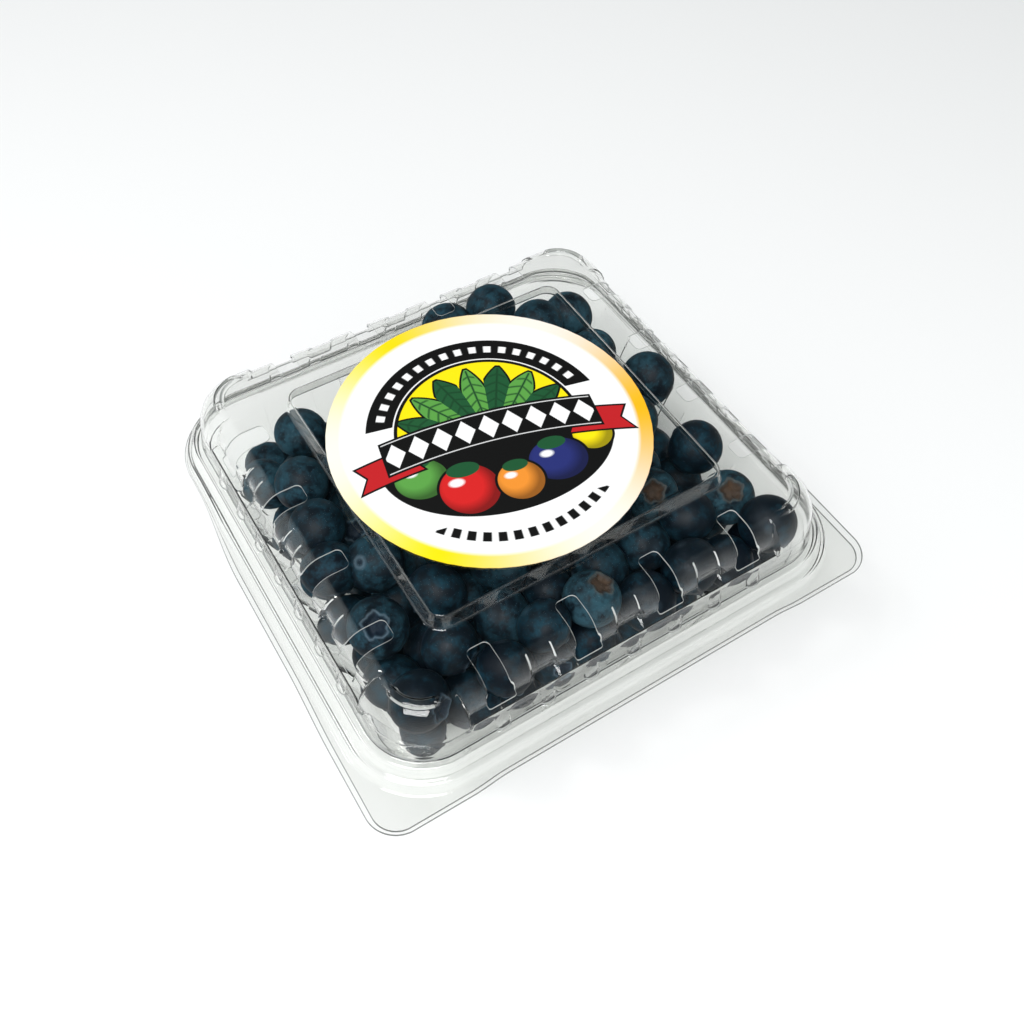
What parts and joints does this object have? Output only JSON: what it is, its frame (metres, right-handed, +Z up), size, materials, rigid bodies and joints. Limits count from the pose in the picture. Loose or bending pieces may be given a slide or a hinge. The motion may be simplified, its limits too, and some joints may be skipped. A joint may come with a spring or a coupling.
{
  "type": "punnet of blueberries",
  "caption": "Shallow square clear clamshell of blueberries, with a hinged vented lid, a round paper label on its raised panel and berries heaped inside.",
  "frame": {"origin": "ground under the middle of the closed pack's bounding box", "axes": "+X along the front opening edge from left to right, +Y from the front edge to the hinge at the back, +Z up"},
  "size_m": [0.126, 0.1193, 0.0452],
  "materials": {
    "clear_sheet_tub": "clear glossy formed sheet",
    "clear_sheet_lid": "clear glossy formed sheet",
    "paper_label": "printed, slightly glossy",
    "berry_skin": "matt with a waxy bloom"
  },
  "bodies": {
    "base": {"base_tub": "clear_sheet_tub", "berries": "berry_skin"},
    "lid": {"lid": "clear_sheet_lid", "label": "paper_label"}
  },
  "joints": [
    {"name": "lid_hinge", "type": "hinge", "parent": "base", "child": "lid", "pos_m": [0, 0.05961, 0.02295], "axis": [-1, 0, 0], "range_deg": [0, 180]}
  ]
}
